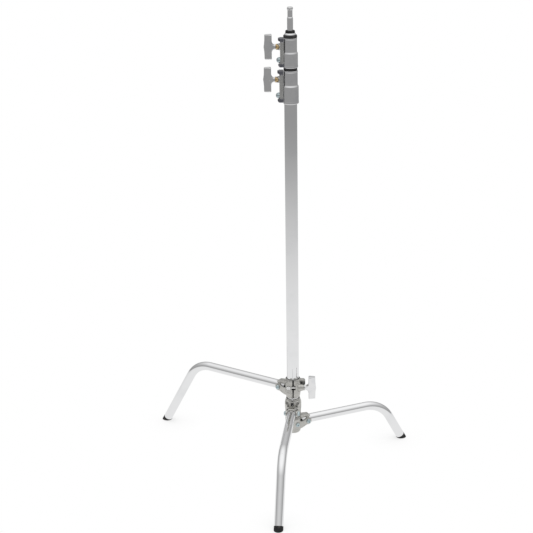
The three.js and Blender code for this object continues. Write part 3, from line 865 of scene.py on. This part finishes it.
def leg_foot(leg):
    """Rubber cap on the tube's end with a plug inside it, cut flat at the floor."""
    end, downward = leg_path(leg)[-1]
    turn = Vector((0, 0, 1)).rotation_difference(-downward)
    cap = lathe([(0, -40), (13.2, -40), (13.2, -5.0), (12.9, -4.4, 0.2), (12.9, -3.4, 0.2),
                 (13.2, -2.9), (13.2, -0.3), (10.8, -0.3), (10.8, 18), (9.1, 20), (0, 20)],
                ease=0.5)
    moved(cap, Matrix.Translation(end) @ turn.to_matrix().to_4x4())
    return cast([cap], [block(end.x - 90, end.x + 90, -60, 60, -90, 0)], 0.5, 3)


def button_bolt():
    piece = lathe([(0, -21.5), (3.6, -21.5), (4, -21), (4, 17.8, 0.1), (6.6, 17.8),
                   (6.6, 19.4, 0.8), (5.7, 21.8, 1.4), (3.8, 22.9, 1.0), (0, 23)],
                  64, ease=0.4, steps=4)
    return boolean(piece, [hex_prism(2.5, 6, shift(0, 0, 23))])


def hex_nut():
    piece = hex_prism(7.2, 5.7, shift(0, 0, -20.65))
    chamfer = [(0, -23.5), (6.4, -23.5), (7.5, -22.7), (7.5, -17.8), (0, -17.8)]
    boolean(piece, [lathe(chamfer, 64, ease=0.0)], "INTERSECT")
    return boolean(piece, [rod(4.3, (0, 0, -30), (0, 0, -10))])


def fork(leg):
    """Rough forms of the cast fork, and the cutters for a shallow panel in each cheek.

    Outlines are [x, height from the leg axis], tilted with the leg about its inner end."""
    tilt = (shift(LEG_INNER, 0, leg.hub) @ rotate_slope(leg) @ shift(-LEG_INNER, 0, 0))
    arm = [(8, -20.5), (20, -19.5), (32, -14.0)]
    arm += [(REACH + 10.8 * cos(radians(a)), -1 + 10.8 * sin(radians(a)))
            for a in range(-108, 109, 12)]
    arm += [(33, 6.0), (28, 3.4), (24, 2.2), (8, 2)]
    lip = [(8, 4), (49.0, 4), (50.6, 13.2), (48.5, 15.6), (40, 17.0), (8, 19.0)]
    panel = [(25, -13.6), (31, -11.0), (31, -3.0), (25, -3.4)]
    adds = [moved(slab(arm, 34.4), tilt), moved(slab(lip, 19), tilt)]
    for sign in (-1, 1):
        adds.append(moved(rod(8.4, (REACH, sign * 10, -1), (REACH, sign * 17.9, -1)), tilt))
    cuts = [moved(slab(panel, 1.8, y=sign * 17.6, ease=1.6), tilt) for sign in (-1, 1)]
    return adds, cuts


def rotate_slope(leg):
    return Matrix.Rotation(-atan(leg_slope(leg)), 4, "Y")


def fork_cuts(leg, bore, bore_floor=None):
    """Cutters for the column bore, the leg's socket and the leg bolt."""
    inner, outward = leg_path(leg)[0]
    bottom = leg.hub - 80 if bore_floor is None else bore_floor
    return [rod(bore, (0, 0, bottom), (0, 0, leg.hub + 80), 96),
            rod(LEG_R + BORE_GAP, inner - outward * 0.4, inner + outward * 60, 72),
            bolt_bore(leg, 4.3, 30)]


def leg_place(leg):
    return rotate(leg.azimuth, "Z")


for leg, name, body in ((LONG, "long_leg", "long_leg"), (MIDDLE, "middle_leg", "middle_leg"),
                        (SHORT, "short_leg", "root")):
    place = leg_place(leg)
    across = shift(REACH, 0, bolt_height(leg)) @ rotate(-90 * leg.head, "X")
    finish(leg_pipe(leg), name + "_pipe", name + "_tube", body, "chrome_tube", place)
    finish(leg_foot(leg), name + "_rubber", name + "_foot", body, "black_rubber", place,
           sharp=None)
    finish(moved(button_bolt(), across), name + "_button_bolt", name + "_bolt", body,
           "zinc_bolt", place)
    finish(moved(hex_nut(), across), name + "_hex_nut", name + "_nut", body, "zinc_bolt", place)

# --------------------------------------------- base casting, carries the short leg
SET_BOLT_X, SET_BOLT_Z = 4, SHORT.hub - 3.5


def base_casting():
    adds, panels = fork(SHORT)
    cup = lathe([(0, BASE), (14.5, BASE, 1.5), (18.4, BASE + 1.6, 3), (21.0, BASE + 5, 4),
                 (22.4, BASE + 10, 2), (22.4, 113), (22.8, 115), (22.8, 137), (20.6, 144),
                 (0, 144)], ease=0.8)
    pad = rod(7.8, (SET_BOLT_X, -23.4, SET_BOLT_Z), (SET_BOLT_X, -12, SET_BOLT_Z))
    bolt_cut = rod(3.9, (SET_BOLT_X, -40, SET_BOLT_Z), (SET_BOLT_X, -10, SET_BOLT_Z), 32)
    return cast([cup] + adds + [pad],
                fork_cuts(SHORT, COLUMN_R + BORE_GAP, 98.2) + panels + [bolt_cut], 0.6, 5)


def set_bolt():
    piece = lathe([(0, 17.9), (3.5, 17.9), (3.5, 22.9, 0.1), (6.2, 22.9), (6.2, 25.2, 0.8),
                   (5, 26.7, 0.8), (0, 27)], 64, ease=0.3)
    boolean(piece, [hex_prism(2.6, 5, shift(0, 0, 26.6))])
    return moved(piece, shift(SET_BOLT_X, 0, SET_BOLT_Z) @ rotate(90, "X"))


finish(base_casting(), "base_casting_body", "base_casting", "root", "satin_casting",
       leg_place(SHORT), sharp=None)
finish(set_bolt(), "base_set_bolt_head", "base_set_bolt", "root", "zinc_bolt", leg_place(SHORT))


# ------------------------------------------------------------------ middle hub
def middle_hub():
    adds, panels = fork(MIDDLE)
    sleeve = lathe([(0, 145), (20.8, 145), (22.4, 147), (22.6, 160), (23.8, 174), (23.9, 188),
                    (22.6, 194), (19.8, 202.5), (0, 202.5)], ease=1.2)
    lobes = [ball((15, sign * 14, 188.5), (8.6, 8.6, 12.0)) for sign in (-1, 1)]
    pockets = [ball((23.4, sign * 15.5, 191.5), (4.6, 3.3, 4.4)) for sign in (-1, 1)]
    slot = [slab([(17, 181), (30, 183), (30, 190), (17, 194)], 7.0, ease=1.0),
            ball((21.5, 0, 199.5), (4.5, 3.4, 4.0))]
    ribs = [slab([(8, 176), (27, 176), (23.5, 193), (8, 197)], 3.2, y=sign * 7.2)
            for sign in (-1, 1)]
    return cast([sleeve] + adds + lobes + ribs,
                fork_cuts(MIDDLE, COLUMN_R + BORE_GAP) + pockets + slot + panels
                + [block(-60, 60, -60, 60, 202.5, 240)], 0.6, 5)


finish(middle_hub(), "middle_hub_casting", "middle_hub", "middle_leg", "satin_casting",
       leg_place(MIDDLE), sharp=None)

# ---------------------------------------- sliding collar, carries the long leg
# The clamp screw runs along X across the split, at this place in the stand's frame
SPLIT_Y, SPLIT_Z = -26.0, 244.0


def collar_liner():
    z0, z1 = heights("sliding_collar_liner")
    return lathe([(17.85, z0), (18.6, z0), (18.6, z1), (17.85, z1)], 128, ease=0.1, steps=1)


def sliding_collar():
    """Made in the long leg's frame; the clamp's ears are shaped in the stand's, then turned."""
    adds, panels = fork(LONG)
    turn = rotate(-LONG.azimuth, "Z")
    sleeve = lathe([(0, 205), (19.4, 205), (20.2, 208.5, 2), (22.6, 222, 3), (22.9, 227),
                    (22.9, 258), (21.2, 263.4), (0, 264)], ease=1.2)
    left_ear = slab([(-17.4, 226.5), (-2, 224.5), (-2, 263), (-16, 263), (-19.6, 259.5),
                     (-20, 229.5)], 15.4, y=-22.0, ease=1.0)
    right_ear = slab([(2, 224.5), (15.5, 226.5), (20.5, 231), (20.5, 260), (18, 263),
                      (2, 263)], 16, y=-22.2, ease=1.0)
    web = slab([(-15, 228), (15, 228), (15, 261), (-15, 261)], 8, y=-16)
    plate = slab([(8.6, 231), (19, 232.5), (19, 256.5), (8.6, 258)], 17.6, y=-21.9, ease=1.2)
    boss = lathe([(0, 14), (11.5, 14), (11.3, 20.5), (10.2, 23), (8.2, 31.6), (0, 31.6)],
                 64, "X")
    moved(boss, shift(0, SPLIT_Y, SPLIT_Z))
    lug = slab([(8, 247), (32, 247), (35.5, 250), (35.5, 259), (32, 263), (8, 264)],
               15, y=-9.5, ease=1.0)
    ear_cuts = [
        # the split, the gap beside it and the pocket of the square nut
        block(-1.5, 1.5, -40, -10, 200, 275),
        block(-4.6, 7, -40, -19.4, SPLIT_Z - 6.6, SPLIT_Z + 6.6),
        block(-18.3, -7.7, -40, -19.4, SPLIT_Z - 5.7, SPLIT_Z + 5.7),
        rod(5.0, (-24, SPLIT_Y, SPLIT_Z), (40, SPLIT_Y, SPLIT_Z)),
        # a recess in the lug and a dimple at the foot of the split
        slab([(21, 250), (32.5, 250), (33.4, 252), (33.4, 257.5), (31.5, 260.4),
              (21, 260.8)], 5.0, y=-17.6, ease=1),
        ball((0, -23.5, 206.0), (3.4, 5, 4.2))]
    ears = [moved(part, turn) for part in (left_ear, right_ear, web, plate, boss, lug)]
    ear_cuts = [moved(part, turn) for part in ear_cuts]
    return cast([sleeve] + adds + ears, fork_cuts(LONG, 18.85) + ear_cuts + panels, 0.55, 4)


def square_nut():
    return cast([block(-18, -8, -31.6, -20.4, SPLIT_Z - 5.4, SPLIT_Z + 5.4)],
                [rod(4.8, (-30, SPLIT_Y, SPLIT_Z), (0, SPLIT_Y, SPLIT_Z))], 0.3, 3)


def clamp_washer():
    ring = lathe([(4.85, 31.9), (8.6, 31.9), (8.6, 34), (4.85, 34)], 64, "X", ease=0.3)
    return moved(ring, shift(0, SPLIT_Y, SPLIT_Z))


finish(collar_liner(), "sliding_collar_sleeve", "sliding_collar_liner", "collar_slide",
       "black_nylon")
finish(sliding_collar(), "sliding_collar_casting", "sliding_collar", "long_leg",
       "satin_casting", leg_place(LONG), sharp=None)
finish(square_nut(), "split_clamp_nut", "collar_square_nut", "long_leg", "bright_steel",
       sharp=None, material="plated_nut")
finish(clamp_washer(), "split_clamp_washer", "leg_clamp_washer", "leg_clamp", "bright_steel")
tee("leg", shift(34.3, SPLIT_Y, SPLIT_Z), -55)

for name in ("riser1_guide_bush", "riser2_guide_bush"):
    nodes[name].data.shade_smooth()
    nodes[name].data.set_sharp_from_angle(angle=radians(30))


# ------------------------------------------------------------ studio, in metres
def cleared(owner):
    owner.use_nodes = True
    owner.node_tree.nodes.clear()
    return owner.node_tree


def studio_world():
    """An even room, lighter overhead; the camera sees a pale backdrop."""
    world = bpy.data.worlds.new("studio")
    scene.world = world
    tree = cleared(world)
    output = tree.nodes.new("ShaderNodeOutputWorld")
    background = tree.nodes.new("ShaderNodeBackground")
    up = split_xyz(output_of(tree, "ShaderNodeTexCoord", "Generated"))[2]
    elevation = up.op("ARCSINE") * (180 / pi)
    room = elevation.step(start=0.0, end=70.0, low=0.35, high=0.95)
    seen = output_of(tree, "ShaderNodeLightPath", "Is Camera Ray")
    room.towards(1.0, seen).into(background.inputs["Color"])
    tree.links.new(background.outputs[0], output.inputs[0])
    world.cycles.sampling_method = "NONE"


def pale_floor():
    """A painted pool of soft light that dims with distance; the camera sees it pale, with a
    painted contact shadow close to the stand.
    """
    material = bpy.data.materials.new("pale_floor")
    tree = cleared(material)
    output = tree.nodes.new("ShaderNodeOutputMaterial")
    emission = tree.nodes.new("ShaderNodeEmission")
    x, y, _ = split_xyz(output_of(tree, "ShaderNodeNewGeometry", "Position"))
    distance = (x * x + y * y).op("SQRT")
    seen = output_of(tree, "ShaderNodeLightPath", "Is Camera Ray")
    # painted contact shadow for the camera, from ambient occlusion
    shade = occlusion(tree, samples=8, distance=0.09).step(
        start=0.35, end=1.0, low=0.80, high=1.0)
    # painted light: the floor glows less with distance from the stand
    pool = distance.step(start=0.5, end=4.0, low=0.80, high=0.30)
    pool.towards(shade, seen).into(emission.inputs["Color"])
    tree.links.new(emission.outputs[0], output.inputs[0])
    material.cycles.emission_sampling = "NONE"
    return material


def studio_floor():
    work = bmesh.new()
    bmesh.ops.create_grid(work, x_segments=1, y_segments=1, size=40)
    work.transform(shift(0, 0, -BASE * MM - 0.0002))  # just under the feet
    floor = object_from(work, "floor")
    floor.data.materials.append(pale_floor())


def softbox(name, location, energy, size):
    """Area light aimed at the lower half of the stand, unseen in reflections."""
    light = bpy.data.lights.new(name, "AREA")
    light.energy = energy
    light.size = size
    lamp = link_object(name, light)
    lamp.location = location
    aim = Vector((0, 0, 0.5)) - Vector(location)
    lamp.rotation_euler = aim.to_track_quat("-Z", "Y").to_euler()
    lamp.visible_glossy = False


def studio_camera():
    lens = bpy.data.cameras.new("camera")
    lens.lens = 108.36
    lens.sensor_width = 36.0
    lens.clip_start = 0.05
    lens.clip_end = 100
    camera = link_object("camera", lens)
    height_from_floor, look_down, roll = 2.1674, 20.1266, -0.791  # metres, degrees, degrees
    camera.matrix_world = (shift(-0.0720, -4.2554, height_from_floor - BASE * MM)
                           @ rotate(90 - look_down, "X") @ rotate(roll, "Z"))
    scene.camera = camera


studio_world()
studio_floor()
softbox("key_softbox", location=(-2.2, -2.6, 3.0), energy=60, size=1.6)
softbox("fill_softbox", location=(2.6, -2.0, 2.2), energy=30, size=1.4)
scene.view_settings.view_transform = "Standard"
studio_camera()
